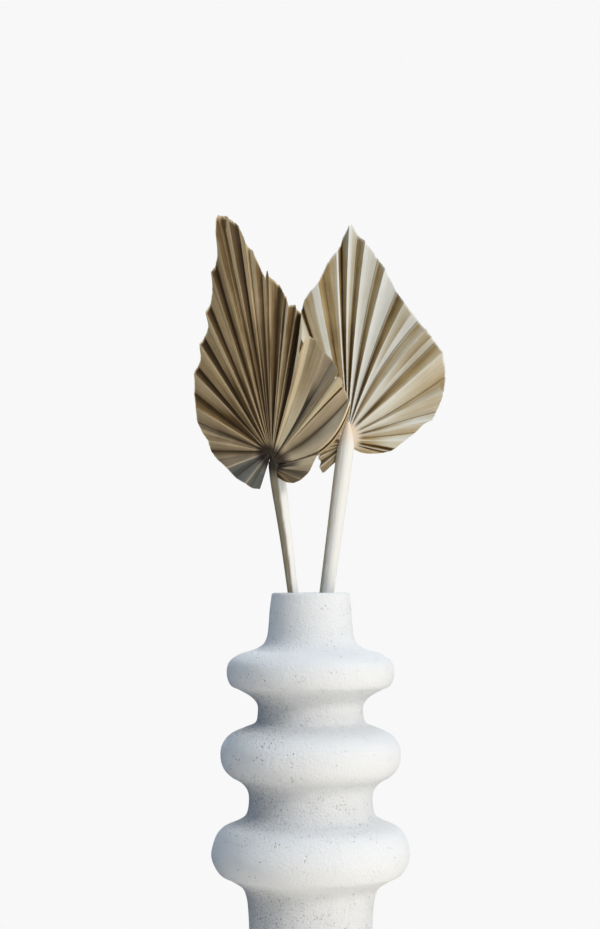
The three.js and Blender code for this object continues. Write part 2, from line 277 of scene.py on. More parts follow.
# Where the lights come from, azimuth and elevation, and how wide they are, in degrees
KEY_FROM = (50, 28)
KEY_WIDTH = 16
BACK_FROM = (185, 18)
BACK_WIDTH = 30
BOUNCE_FROM = (30, 0)
OVERHEAD_FROM = (0, 90)

# The floor, in metres: half its width, and how near the vase it darkens
FLOOR_REACH = 4.0
CONTACT_SHADE = 0.055

# The camera's place and aim, the height it sees at the aim, and its sensor's height
CAMERA_EYE = (-6.93, -1300, 245)
CAMERA_AIM = (-6.93, 0, 324.39)
SEEN_HEIGHT = 613.1
SENSOR_HEIGHT = 36


class PalmVaseSettings(bpy.types.PropertyGroup):
    """Sizes and colours of the leaves, the vase and the studio."""

    blade_thickness: FloatProperty(
        name="Blade thickness", description="Thickness of a leaf's blade, front to back",
        default=0.7 * MM, min=0.3 * MM, max=1.4 * MM, subtype="DISTANCE", unit="LENGTH",
    )
    pleat_depth: FloatProperty(
        name="Pleat depth", description="How deep the pleats are, as a share of their own depth",
        default=1.35, min=0.3, max=1.6, subtype="FACTOR",
    )
    # The left leaf's colours are darker and browner than the right leaf's: partly its own colour, partly
    # painted shade, as it faces away from the key light. The crease colours are painted shade in the deepest
    # folds.
    left_crease: FloatVectorProperty(
        name="Left leaf, crease", description="Colour in its deepest folds, on the left leaf",
        default=(0.032, 0.017, 0.004), subtype="COLOR", min=0, max=1,
    )
    left_brown: FloatVectorProperty(
        name="Left leaf, brown", description="Colour of its sheltered faces, on the left leaf",
        default=(0.135, 0.08, 0.027), subtype="COLOR", min=0, max=1,
    )
    left_tan: FloatVectorProperty(
        name="Left leaf, tan", description="Colour of its half bleached faces, on the left leaf",
        default=(0.57, 0.43, 0.237), subtype="COLOR", min=0, max=1,
    )
    left_pale: FloatVectorProperty(
        name="Left leaf, bleached", description="Colour of its most bleached faces, on the left leaf",
        default=(0.92, 0.78, 0.52), subtype="COLOR", min=0, max=1,
    )
    right_crease: FloatVectorProperty(
        name="Right leaf, crease", description="Colour in its deepest folds, on the right leaf",
        default=(0.070, 0.036, 0.006), subtype="COLOR", min=0, max=1,
    )
    right_brown: FloatVectorProperty(
        name="Right leaf, brown", description="Colour of its sheltered faces, on the right leaf",
        default=(0.38, 0.28, 0.13), subtype="COLOR", min=0, max=1,
    )
    right_tan: FloatVectorProperty(
        name="Right leaf, tan", description="Colour of its half bleached faces, on the right leaf",
        default=(0.62, 0.60, 0.49), subtype="COLOR", min=0, max=1,
    )
    right_pale: FloatVectorProperty(
        name="Right leaf, bleached", description="Colour of its most bleached faces, on the right leaf",
        default=(0.87, 0.89, 0.87), subtype="COLOR", min=0, max=1,
    )
    stalk_pale: FloatVectorProperty(
        name="Stalk", description="Colour of the dried stalks",
        default=(0.81, 0.82, 0.78), subtype="COLOR", min=0, max=1,
    )
    # Painted shade on the stalks' left sides, away from the key light
    stalk_shading: FloatVectorProperty(
        name="Stalk skin", description="Colour of the browner skin on the stalks' left sides",
        default=(0.28, 0.245, 0.17), subtype="COLOR", min=0, max=1,
    )
    vase_wall: FloatProperty(
        name="Wall", description="Thickness of the vase's wall",
        default=3.8 * MM, min=2 * MM, max=8 * MM, subtype="DISTANCE", unit="LENGTH",
    )
    vase_colour: FloatVectorProperty(
        name="Ceramic", description="Colour of the vase's chalky surface",
        default=(0.825, 0.85, 0.86), subtype="COLOR", min=0, max=1,
    )
    speck_colour: FloatVectorProperty(
        name="Specks", description="Colour of the small pits in the ceramic",
        default=(0.30, 0.27, 0.24), subtype="COLOR", min=0, max=1,
    )
    key_strength: FloatProperty(
        name="Key light", description="Strength of the soft light from the front right",
        default=1.88, min=0, max=10,
    )
    key_colour: FloatVectorProperty(
        name="Key colour", description="Colour of the soft light from the front right",
        default=(1.0, 0.93, 0.87), subtype="COLOR", min=0, max=1,
    )
    back_strength: FloatProperty(
        name="Back light", description="Strength of the soft light from behind",
        default=0.9, min=0, max=10,
    )
    back_colour: FloatVectorProperty(
        name="Back colour", description="Colour of the soft light from behind",
        default=(1.0, 0.95, 0.90), subtype="COLOR", min=0, max=1,
    )
    overhead_strength: FloatProperty(
        name="Overhead light", description="Strength of the studio's light from above",
        default=1.55, min=0, max=10,
    )
    overhead: FloatVectorProperty(
        name="Overhead", description="Colour of the studio's light from above",
        default=(0.73, 0.785, 0.84), subtype="COLOR", min=0, max=1,
    )
    shade_side: FloatVectorProperty(
        name="Shade side", description="Colour of the studio's light from all other sides",
        default=(0.0, 0.05, 0.125), subtype="COLOR", min=0, max=1,
    )
    floor_bounce: FloatVectorProperty(
        name="Floor bounce", description="Colour of the light that the floor round the vase throws back",
        default=(1.0, 0.94, 0.86), subtype="COLOR", min=0, max=1,
    )
    background: FloatProperty(
        name="Background", description="Brightness of the plain background",
        default=0.939, min=0, max=1, subtype="FACTOR",
    )


def settings():
    return bpy.context.scene.palm_vase


def smooth_noise(count, knots, seed):
    """count values between -1 and 1: random knots, joined by half waves of a cosine."""
    heights = np.random.default_rng(seed).uniform(-1, 1, knots + 1)
    where = np.linspace(0, knots, count)
    low = np.minimum(where.astype(int), knots - 1)
    turn = 0.5 - 0.5 * np.cos(np.pi * (where - low))
    return heights[low] * (1 - turn) + heights[low + 1] * turn


def soft_table(rows, at, width):
    """A table's piecewise-linear values averaged over [at - width, at + width], which rounds its corners.

    The average is the difference of the table's running integral at both ends, divided by their distance.
    """
    last = len(rows) - 1
    fine = np.linspace(0, last, last * SOFT_TABLE_STEPS + 1)
    values = np.stack([np.interp(fine, np.arange(last + 1), column) for column in rows.T], 1)
    strips = (values[1:] + values[:-1]) * (fine[1] - fine[0]) / 2
    running = np.vstack([np.zeros((1, rows.shape[1])), np.cumsum(strips, axis=0)])
    width = np.maximum(np.minimum(width, np.minimum(at, last - at)), LEAST_SOFTNESS)
    low, high = np.clip(at - width, 0, last), np.clip(at + width, 0, last)

    def integral(where):
        return np.stack([np.interp(where, fine, column) for column in running.T], 1)

    return (integral(high) - integral(low)) / (high - low)[:, None]


def closed_sheet(front, back, columns, rings):
    """Points and faces of a thin closed sheet: a grid of quads on the front, the same turned over on the
    back, and a strip of quads round the border that joins each border point to its twin."""
    index = np.arange(columns * rings).reshape(columns, rings)
    quads = np.stack([index[:-1, :-1], index[:-1, 1:], index[1:, 1:], index[1:, :-1]], -1).reshape(-1, 4)
    twin = columns * rings
    border = np.concatenate([index[0, :], index[1:, -1], index[-1, -2::-1], index[-2:0:-1, 0]])
    following = np.roll(border, -1)
    strip = np.stack([border, border + twin, following + twin, following], 1)
    faces = np.vstack([quads[:, ::-1], quads + twin, strip[:, ::-1]])
    return np.vstack([front, back]), faces.tolist()


def closed_tube(rings, first, last):
    """Points and faces of a closed tube: rings of equally many points joined by quads, and a fan of triangles
    round one more point at either end."""
    count, sides = rings.shape[:2]
    index = np.arange(count * sides).reshape(count, sides)
    right = np.roll(index, -1, axis=1)
    quads = np.stack([index[:-1], right[:-1], right[1:], index[1:]], -1).reshape(-1, 4)
    low = np.stack([np.full(sides, count * sides), right[0], index[0]], -1)
    high = np.stack([np.full(sides, count * sides + 1), index[-1], right[-1]], -1)
    points = np.vstack([rings.reshape(-1, 3), [first, last]])
    return points, quads.tolist() + low.tolist() + high.tolist()


def make_piece(name, points, faces, sharp_angle, values):
    """A mesh piece in metres from points in millimetres, smooth but for edges sharper than the angle
    (degrees). Each named array of values becomes an attribute of its points."""
    mesh = bpy.data.meshes.new(name)
    mesh.from_pydata((points * MM).tolist(), [], faces)
    for key, numbers in values.items():
        mesh.attributes.new(key, "FLOAT", "POINT").data.foreach_set("value", numbers.astype(np.float32))
    mesh.validate()
    mesh.polygons.foreach_set("use_smooth", np.ones(len(mesh.polygons), bool))
    mesh.set_sharp_from_angle(angle=math.radians(sharp_angle))
    piece = bpy.data.objects.new(name, mesh)
    bpy.context.scene.collection.objects.link(piece)
    return piece


def fold_points(leaf, fan, rows, share, lift):
    """Points of folds at shares of their length, as (column, ring, xyz) in millimetres.

    A fold runs straight from the crown to its end: (1 - share) * start + share * end, plus 4 * share *
    (1 - share) * bow square to it. It stands forward by lean * x - arch * (x^2 + z^2) / 10000, plus its own
    rise in proportion to share, plus lift.
    """
    across, up, rise, bow = (rows[:, k:k + 1] for k in range(4))
    reach = np.hypot(across, up)
    side, height = across / reach, up / reach
    crown = leaf["crown"]
    start_across = fan["start"][0] + side * np.abs(side) * crown[0]
    start_up = fan["start"][2] + side * crown[1] - (1 - height) / 2 * crown[2]
    aside = 4 * share * (1 - share) * bow
    x = start_across * (1 - share) + across * share + aside * height
    z = start_up * (1 - share) + up * share - aside * side
    plane = leaf["lean"] * x - leaf["arch"] * (x * x + z * z) / 1e4
    forward = plane + fan["start"][1] * (1 - share) + rise * share + lift
    head = leaf["head"]
    return np.stack([head[0] + x, head[1] - forward, head[2] + z], -1)


def ridges_and_valleys(rise):
    """Which folds are ridges and which are valleys: those that stand further out or further in than both the
    folds beside them."""
    before, after = np.r_[rise[0], rise[:-1]], np.r_[rise[1:], rise[-1]]
    return (rise > before) & (rise > after), (rise < before) & (rise < after)


def blade(name, leaf, fan, rings, seed):
    """A pleated fan with crisp ridges, rounded valleys, slightly wavy faces and a somewhat ragged margin.

    Columns of points stand on the folds and between them. Rings stand at shares of the folds' length, after
    three more at HUB_SHARES of the way from the hub to the crown. The front and the back are this grid, moved
    by half the blade's thickness each way.
    """
    table = np.array([tuple(row) + (0,) * (5 - len(row)) for row in fan["folds"]], float)
    places = np.arange(len(table))
    at = np.append((places[:-1, None] + np.array(COLUMN_SHARES)).ravel(), places[-1])
    columns = len(at)
    ridge, valley = ridges_and_valleys(table[:, 2])
    softness = np.where(ridge, RIDGE_SOFTNESS, np.where(valley, VALLEY_SOFTNESS, SLOPE_SOFTNESS))
    rows = soft_table(table[:, [0, 1, 2, 4]], at, np.interp(at, places, softness))
    rows[:, 2] *= settings().pleat_depth
    coarse = COARSE_RAGGEDNESS * smooth_noise(columns, 3 * len(table), seed)
    fine = FINE_RAGGEDNESS * smooth_noise(columns, 9 * len(table), seed + 1)
    rows[:, :2] *= (1 + coarse + fine)[:, None]

    share = np.linspace(0, 1, rings - len(HUB_SHARES))[None, :] ** RING_SPACING
    ripple = WAVE_HEIGHT * np.sin(np.pi * share[0] * HALF_WAVES)
    wave = np.outer(smooth_noise(columns, len(table), seed + 2), ripple) * share
    points = fold_points(leaf, fan, rows, share, wave)
    across, forward, up = fan["start"]
    hub = np.array(leaf["head"]) + (across, -forward, up)
    inmost = hub + np.array(HUB_SHARES)[None, :, None] * (points[:, :1] - hub)
    flat = np.concatenate([inmost, points], axis=1).reshape(-1, 3)
    share = np.concatenate([np.zeros((1, len(HUB_SHARES))), share], axis=1)
    half = np.array([0, settings().blade_thickness / MM / 2, 0])
    vertices, faces = closed_sheet(flat - half, flat + half, columns, rings)

    reach = np.hypot(rows[:, 0], rows[:, 1])[:, None] * share
    walk = np.r_[0, np.cumsum(np.hypot(np.diff(rows[:, 0]), np.diff(rows[:, 1])))]
    values = blade_values(fan, table, at, walk, share)
    values["from_hub"] = reach

    def both_sides(numbers):
        return np.tile(np.broadcast_to(numbers, (columns, rings)).ravel(), 2)

    values = {key: both_sides(numbers) for key, numbers in values.items()}
    piece = make_piece(name, vertices, faces, BLADE_SHARP_ANGLE, values)
    corner = np.zeros(len(piece.data.loops), np.int32)
    piece.data.loops.foreach_get("vertex_index", corner)
    coordinates = np.stack([both_sides(walk[:, None]), both_sides(reach)], 1) / MM_PER_UNIT
    fibres = piece.data.uv_layers.new(name="fibres")
    fibres.data.foreach_set("uv", coordinates[corner].astype(np.float32).ravel())
    return piece


def blade_values(fan, table, at, walk, share):
    """What the blade's colours follow, by column and ring.

    A face's tone goes from the hub's to the margin's by a smooth step of share. hollow is how far a column
    lies behind the line from ridge to ridge. crest and crease are exp(-(d * share / width)^2), with d the way
    along the margin to the nearest ridge or valley. The material darkens hollows and creases as painted shade
    and lightens crests as a painted highlight.
    """
    places = np.arange(len(table))
    rise, bleach = table[:, 2], table[:, 3]
    ridge, valley = ridges_and_valleys(rise)
    facet = np.minimum(at.astype(int), places[-2])
    previous = np.maximum(facet - 1, 0)
    blend = np.clip((at - facet) / FACE_BLEND, 0, 1)

    def by_face(numbers):
        """Values of faces at the columns: steps at ridges, short blends at the other folds."""
        soft = numbers[previous] * (1 - blend) + numbers[facet] * blend
        return np.where(ridge[facet], numbers[facet], soft)[:, None]

    def near(which, width):
        away = np.abs(walk[:, None] - walk[np.searchsorted(at, places[which])])
        return np.exp(-(away.min(1)[:, None] * share / width) ** 2)

    inner, tint = bleach.copy(), np.zeros(len(table))
    inner[list(fan["inner"])] = list(fan["inner"].values())
    tint[list(fan["tint"])] = list(fan["tint"].values())
    outwards = np.clip((share - HUB_TONE_UNTIL) / (MARGIN_TONE_FROM - HUB_TONE_UNTIL), 0, 1)
    outwards = outwards * outwards * (3 - 2 * outwards)
    behind = np.interp(at, places[ridge], rise[ridge]) - np.interp(at, places, rise)
    return {
        "bleach": by_face(inner) * (1 - outwards) + by_face(bleach) * outwards,
        "tint": by_face(tint),
        "hollow": np.clip(behind / FULL_HOLLOW, 0, 1)[:, None],
        "crest": near(ridge, CREST_WIDTH),
        "crease": near(valley, CREASE_WIDTH),
        "share": share,
    }


def spline(stations, count):
    """Points on a Catmull-Rom curve through the stations, evenly many to each stretch."""
    table = np.array(stations, float)
    padded = np.vstack([2 * table[0] - table[1], table, 2 * table[-1] - table[-2]])
    where = np.linspace(0, len(table) - 1, count)
    k = np.minimum(where.astype(int), len(table) - 2)
    t = (where - k)[:, None]
    a, b, c, d = (padded[k + n] for n in range(4))
    square, cube = 2 * a - 5 * b + 4 * c - d, 3 * b - a - 3 * c + d
    return 0.5 * (2 * b + (c - a) * t + square * t ** 2 + cube * t ** 3)


def stalk(name, stations):
    """A tapering stalk: level ovals round a curve through the stations, flattened front to back, each with
    the radius r * (1 + 0.03 * cos(5 turn + 1) + 0.012 * cos(11 turn)), closed by a point at each end."""
    path = spline(stations, STALK_RINGS)
    turn = np.linspace(0, 2 * np.pi, STALK_SIDES, endpoint=False)
    radius = path[:, 3:4] * (1 + 0.03 * np.cos(5 * turn + 1) + 0.012 * np.cos(11 * turn))
    rings = np.stack([
        path[:, 0:1] + radius * np.cos(turn),
        path[:, 1:2] + radius * STALK_DEPTH * np.sin(turn),
        np.broadcast_to(path[:, 2:3], radius.shape),
    ], -1)
    points, faces = closed_tube(rings, path[0, :3], path[-1, :3])
    side = np.append(np.tile(np.cos(turn), STALK_RINGS), [0, 0])
    return make_piece(name, points, faces, SHARP_ANGLE, {"side": side})


def vase_wall_profile(wall):
    """Radius and height round the wall's cut: the bottom, up the outside, over the lip and down the inside.

    The inside is the outside moved in by the wall's thickness, square to the outline. The lip is half a
    circle between them, and the bottom's edge a quarter of one.
    """
    outside = spline(VASE_PROFILE, VASE_RINGS)
    along = np.gradient(outside, axis=0)
    along /= np.linalg.norm(along, axis=1)[:, None]
    inside = outside + wall * np.stack([-along[:, 1], along[:, 0]], 1)
    every_other = np.arange(len(inside)) % 2 == 0
    inside = inside[(inside[:, 1] > INSIDE_FROM) & every_other][:-1]
    turn = np.linspace(0, np.pi, LIP_POINTS)[1:]
    radius, height = outside[-1]
    lip = np.stack([radius + wall / 2 * (np.cos(turn) - 1), height + wall / 2 * np.sin(turn)], 1)
    turn = np.linspace(0, np.pi / 2, EDGE_POINTS)[:-1]
    flat = VASE_PROFILE[0][0] - BOTTOM_EDGE
    edge = np.stack([flat + BOTTOM_EDGE * np.sin(turn), BOTTOM_EDGE - BOTTOM_EDGE * np.cos(turn)], 1)
    return np.vstack([[[BOTTOM_MIDDLE, 0]], edge, outside, lip, inside[::-1], FLOOR_PROFILE])


def revolved_vase(name, wall):
    """The vase's wall: its cut carried round the Z axis, a little uneven, as in a hand-finished casting.

    The radius grows by 0.12 * sin(2 turn + 0.7) * sin(height / 23) + 0.08 * sin(3 turn + height / 40), by
    less near the foot and not at all on the widest ring. groove is how far a point lies inside the line over
    the rings' crests.
    """
    profile = vase_wall_profile(wall)
    turn = np.linspace(0, 2 * np.pi, VASE_STEPS, endpoint=False)
    radius, height = profile[:, 0:1], profile[:, 1:2]
    wobble = 0.12 * np.sin(2 * turn + 0.7) * np.sin(height / 23) + 0.08 * np.sin(3 * turn + height / 40)
    uneven = radius + wobble * np.clip(height / 30, 0, 1) * (radius < WIDEST_RING)
    rings = np.stack([
        uneven * np.cos(turn),
        uneven * np.sin(turn),
        np.broadcast_to(height, uneven.shape),
    ], -1)
    points, faces = closed_tube(rings, (0, 0, 0), (0, 0, FLOOR_PROFILE[-1][1]))
    crests = np.interp(profile[:, 1], *np.array(CREST_LINE).T)
    groove = np.clip((crests - profile[:, 0]) / FULL_GROOVE, 0, 1)
    groove = np.append(np.repeat(groove, VASE_STEPS), [0, 0])
    return make_piece(name, points, faces, SHARP_ANGLE, {"groove": groove})


class Wire:
    """A number's socket in a shader. Arithmetic on it adds Math nodes."""

    def __init__(self, shader, socket):
        self.shader = shader
        self.socket = socket

    def _math(self, operation, *values):
        return self.shader.add("ShaderNodeMath", {"operation": operation}, dict(enumerate(values)))

    def __add__(self, other):
        return self._math("ADD", self, other)

    def __radd__(self, other):
        return self._math("ADD", other, self)

    def __sub__(self, other):
        return self._math("SUBTRACT", self, other)

    def __rsub__(self, other):
        return self._math("SUBTRACT", other, self)

    def __mul__(self, other):
        return self._math("MULTIPLY", self, other)

    def __rmul__(self, other):
        return self._math("MULTIPLY", other, self)

    def __truediv__(self, other):
        return self._math("DIVIDE", self, other)

    def __pow__(self, other):
        return self._math("POWER", self, other)

    def between(self, low, high):
        """0 below low, 1 above high and a smooth step between them."""
        return self.shader.add("ShaderNodeMapRange", {"interpolation_type": "SMOOTHSTEP"}, {
            "Value": self, "From Min": low, "From Max": high,
        }, "Result")


class Shader:
    """The nodes of a material or a world, written as expressions on wires."""

    def __init__(self, owner):
        self.owner = owner
        owner.use_nodes = True
        self.tree = owner.node_tree

    def add(self, kind, options=None, inputs=None, output=0):
        """A node of any kind: its options are set first, then its sockets get values or wires."""
        node = self.tree.nodes.new(kind)
        for key, value in (options or {}).items():
            if key == "stops":
                self._stops(node.color_ramp, value)
            else:
                setattr(node, key, value)
        for key, value in (inputs or {}).items():
            self.feed(node.inputs[key], value)
        return Wire(self, node.outputs[output])

    def _stops(self, ramp, stops):
        while len(ramp.elements) < len(stops):
            ramp.elements.new(0.5)
        for element, (place, colour) in zip(ramp.elements, stops):
            element.position = place
            element.color = (*colour, 1)

    def feed(self, socket, value):
        if isinstance(value, Wire):
            self.tree.links.new(value.socket, socket)
        elif socket.type == "RGBA":
            socket.default_value = (*value, 1)
        else:
            socket.default_value = value

    def attribute(self, name):
        return self.add("ShaderNodeAttribute", {"attribute_name": name}, None, "Fac")

    def place(self):
        return self.add("ShaderNodeTexCoord", None, None, "Object")

    def part(self, vector, axis):
        return self.add("ShaderNodeSeparateXYZ", None, {0: vector}, axis)

    def scaled(self, vector, scale):
        return self.add("ShaderNodeMapping", None, {"Vector": vector, "Scale": scale})

    def noise(self, vector, scale=1.0, detail=3, roughness=0.55):
        return self.add("ShaderNodeTexNoise", None, {
            "Vector": vector, "Scale": scale, "Detail": detail, "Roughness": roughness,
        }, "Fac")

    def mix(self, share, low, high, blend="MIX"):
        return self.add("ShaderNodeMix", {"data_type": "RGBA", "blend_type": blend}, {
            0: share, 6: low, 7: high,
        }, 2)

    def bump(self, height, strength, distance):
        sockets = {"Height": height, "Strength": strength, "Distance": distance}
        return self.add("ShaderNodeBump", None, sockets)

    def finish(self, colour, roughness, normal, specular=0.25):
        """Feeds the material's Principled surface."""
        surface = self.tree.nodes["Principled BSDF"]
        self.feed(surface.inputs["Base Color"], colour)
        self.feed(surface.inputs["Roughness"], roughness)
        self.feed(surface.inputs["Specular IOR Level"], specular)
        self.feed(surface.inputs["Normal"], normal)
        return self.owner

    def output(self, kind, wire):
        """Makes a wire the tree's only surface."""
        for old in [n for n in self.tree.nodes if n.bl_idname == kind]:
            self.tree.nodes.remove(old)
        end = self.tree.nodes.new(kind)
        self.tree.links.new(wire.socket, end.inputs["Surface"])


def shaded(colour, share):
    return tuple(part * share for part in colour)


def leaf_material(name, tones, hub, spots):
    """Dried palm blade: tone by each face's listed tone, partly how bleached it is and partly painted shade,
    and darker by how deep it lies in its fold as painted shade, streaks along the fibres, painted shade in
    the creases, painted highlights on the crests, the hub darkened by painted shade (on the right leaf only
    to the hub's left, with its own pale colour to the right) and the margin dry and light.

    tones are the blade's colours from the deepest fold to the most bleached face. spots are brown marks:
    across, up, half their width and half their height, in metres.
    """
    deepest, brown, tan, pale = tones
    shader = Shader(bpy.data.materials.new(name))
    bleach, tint, hollow, crest, crease, share, from_hub = (
        shader.attribute(key) for key in ("bleach", "tint", "hollow", "crest", "crease", "share", "from_hub")
    )
    place = shader.place()
    fibres = shader.add("ShaderNodeUVMap", {"uv_map": "fibres"})
    fine = shader.noise(shader.scaled(fibres, (150, 5, 1)), detail=4)
    broad = shader.noise(shader.scaled(fibres, (45, 2.5, 1)))
    patches = shader.noise(place, 45)
    # Each face's listed tone, partly bleaching and partly painted shade, darkened in the fold's hollows as
    # painted shade
    tone = bleach - hollow * 0.27 + (broad - 0.5) * 0.3 + (patches - 0.5) * 0.25 + (fine - 0.5) * 0.2
    stops = list(zip(TONE_PLACES, tones))
    colour = shader.add("ShaderNodeValToRGB", {"stops": stops}, {0: tone}, "Color")
    # Warmer or greyer faces: partly the leaf's own colour, partly painted shade colour, the greyest standing
    # for bluish shade
    warm, cool = tint.between(0, 1), (0 - tint).between(0, 1)
    colour = shader.mix(warm, colour, WARM_FILTER, "MULTIPLY")
    colour = shader.mix(cool * 0.85, colour, shader.mix(tone, *GREYED))
    # Painted shade along the valleys' creases, deepest where the fold is hollow
    colour = shader.mix(crease * crease * hollow.between(0.1, 0.6) * 0.8, colour, deepest)
    # Painted highlight along the crests
    glint = crest * broad.between(0.3, 0.6)
    colour = shader.mix(glint * 0.7, colour, tuple(0.5 * (a + b) for a, b in zip(tan, pale)))
    dry_edge = share.between(0.98, 1.0) * patches.between(0.35, 0.55)
    colour = shader.mix(dry_edge * 0.6, colour, pale)
    # Darkening round the hub: painted shade where the folds gather; on the right leaf only to the hub's left,
    # with its own pale colour to the right
    stain_and_shade = 1 - (from_hub + (patches - 0.5) * 6 + (fine - 0.5) * 6).between(*hub["reach"])
    across, up = shader.part(place, "X"), shader.part(place, "Z")
    stain_and_shade_colour = shader.mix(across.between(hub["split"] - 0.002, hub["split"]), *hub["colours"])
    colour = shader.mix(stain_and_shade * (0.98 - crest * 0.06), colour, stain_and_shade_colour)
    for x, z, half_width, half_height in spots:
        off = ((across - x) / half_width) ** 2 + ((up - z) / half_height) ** 2
        colour = shader.mix((1 - (off + patches).between(0.8, 1.9)) * 0.8, colour, brown)
    normal = shader.bump(fine * 0.6 + broad, 0.4, FIBRE_RELIEF)
    return shader.finish(colour, 0.62 + fine * 0.2, normal)


def stalk_material(name, pale, shading, shading_end, stain_and_shade, stain_and_shade_from):
    """Dried stalk: pale fibres along its length, painted shading on its left side, away from the key light,
    with a darker painted band where it ends, and a darkening where the stalk runs into the blade: painted
    shade on the left stalk, the hub's own pale colour on the right one."""
    shader = Shader(bpy.data.materials.new(name))
    place = shader.place()
    strands = shader.noise(shader.scaled(place, (900, 900, 12)))
    patches = shader.noise(place, 45)
    side = shader.attribute("side") + (strands - 0.5) * 0.5 + (patches - 0.5) * 0.3
    # Painted shading on the stalk's left side, away from the key light
    colour = shader.mix(side.between(*shading_end), shading, pale)
    end = shading_end[1]
    # A darker band of painted shade where the shading on the left side ends
    shading_edge = side.between(end - 0.35, end - 0.1) * (1 - side.between(end - 0.1, end + 0.1))
    colour = shader.mix(shading_edge * 0.35, colour, shaded(shading, 0.45))
    colour = shader.mix(strands.between(0.5, 0.8) * 0.3, colour, shaded(pale, 0.8))
    height = shader.part(place, "Z") + (strands - 0.5) * 0.006
    # Darkening at the top: painted shade on the left stalk, the hub's own pale colour on the right one
    colour = shader.mix(height.between(*stain_and_shade_from) * 0.95, colour, stain_and_shade)
    return shader.finish(colour, 0.7, shader.bump(strands, 0.3, FIBRE_RELIEF))


def ceramic_material(name, body, speck):
    """Chalky ceramic: sandy grain, coarser in the grooves between the rings, painted shade in the grooves'
    left sides, darker pits, denser and darker on the shaded left as painted shade, and faint clouds."""
    shader = Shader(bpy.data.materials.new(name))
    place = shader.place()
    groove = shader.attribute("groove")
    clouds = shader.noise(place, 22)
    sand = shader.noise(place, 1300, 2, 0.6)
    grit = shader.noise(place, 620, 3, 0.65)
    runs = shader.noise(shader.scaled(place, (500, 500, 40)), detail=2)
    spots = shader.add("ShaderNodeTexVoronoi", {"feature": "F1"}, {"Vector": place, "Scale": 420}, "Distance")
    # The vase's left side, away from the key light; it carries painted shade in the grooves and denser,
    # darker pits
    left = (0 - shader.part(place, "X")).between(-0.005, 0.045)
    groove_shade = groove * left
    # More pits in the grooves, and more on the shaded left as painted shade
    seldom = (shader.noise(place, 95, 2) + groove * 0.1 + left * 0.04 + groove_shade * 0.1).between(0.52, 0.66)
    pits = (1 - spots.between(0.10, 0.26)) * seldom
    colour = shader.mix(clouds.between(0.3, 0.7) * 0.35, body, shaded(body, 0.955))
    # Painted shade in the grooves' left sides, with grit
    colour = shader.mix(groove_shade * (0.3 + grit.between(0.4, 0.7) * 0.45), colour, shaded(body, 0.5))
    colour = shader.mix(grit.between(0.58, 0.76) * 0.15, colour, shaded(body, 0.8))
    # Pits darker on the left: their own colour, deepened there as painted shade
    colour = shader.mix(pits * (0.3 + left * 0.5), colour, speck)
    height = (sand * 0.4 + grit) * (groove * 0.35 + 0.5) + runs * 0.15 - pits * 0.5
    return shader.finish(colour, 0.86 + grit * 0.08, shader.bump(height, 1, GRAIN_RELIEF), 0.2)


def settle(piece, material, slot, *replaced):
    """Gives a piece its material, and says what it rides on and stands for."""
    piece.data.materials.append(material)
    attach(piece, "root")
    if replaced:
        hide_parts(*replaced)


class PALMVASE_OT_vase(bpy.types.Operator):
    """Revolve the ringed vase and give it its chalky ceramic"""

    bl_idname = "palmvase.vase"
    bl_label = "Vase"

    def execute(self, context):
        own = settings()
        piece = revolved_vase("ringed_vase", own.vase_wall / MM)
        ceramic = ceramic_material("chalky_ceramic", own.vase_colour, own.speck_colour)
        settle(piece, ceramic, "vase", "vase")
        return {"FINISHED"}


class PALMVASE_OT_left_leaf(bpy.types.Operator):
    """Fold the khaki leaf's blade and lower lobe, and draw its stalk"""

    bl_idname = "palmvase.left_leaf"
    bl_label = "Left leaf"

    def execute(self, context):
        own = settings()
        tones = [tuple(c) for c in (own.left_crease, own.left_brown, own.left_tan, own.left_pale)]
        khaki = leaf_material("khaki_blade", tones, LEFT_HUB, KHAKI_SPOTS)
        upper, lower = LEFT_LEAF["fans"]
        main = blade("left_blade", LEFT_LEAF, upper, BLADE_RINGS, LEFT_BLADE_SEED)
        settle(main, khaki, "leaf_khaki", "palm_leaf_left")
        lobe = blade("left_lobe", LEFT_LEAF, lower, LOBE_RINGS, LEFT_LOBE_SEED)
        settle(lobe, khaki, "leaf_khaki")
        stem = stalk("left_stalk", LEFT_LEAF["stalk"])
        fibre = stalk_material(
            "left_stalk_fibre", own.stalk_pale, own.stalk_shading, LEFT_SHADING_END, HUB_SHADE, LEFT_SHADE_FROM,
        )
        settle(stem, fibre, "leaf_khaki")
        return {"FINISHED"}


class PALMVASE_OT_right_leaf(bpy.types.Operator):
    """Fold the cream leaf's blade and draw its stalk"""

    bl_idname = "palmvase.right_leaf"
    bl_label = "Right leaf"

    def execute(self, context):
        own = settings()
        tones = [tuple(c) for c in (own.right_crease, own.right_brown, own.right_tan, own.right_pale)]
        cream = leaf_material("cream_blade", tones, RIGHT_HUB, CREAM_SPOTS)
        main = blade("right_blade", RIGHT_LEAF, RIGHT_LEAF["fans"][0], BLADE_RINGS, RIGHT_BLADE_SEED)
        settle(main, cream, "leaf_cream", "palm_leaf_right")
        stem = stalk("right_stalk", RIGHT_LEAF["stalk"])
        shading = shaded(own.stalk_shading, RIGHT_SHADING_PALER)
        fibre = stalk_material(
            "right_stalk_fibre", own.stalk_pale, shading, RIGHT_SHADING_END, PALE_HUB, RIGHT_STAIN_FROM,
        )
        settle(stem, fibre, "leaf_cream")
        return {"FINISHED"}


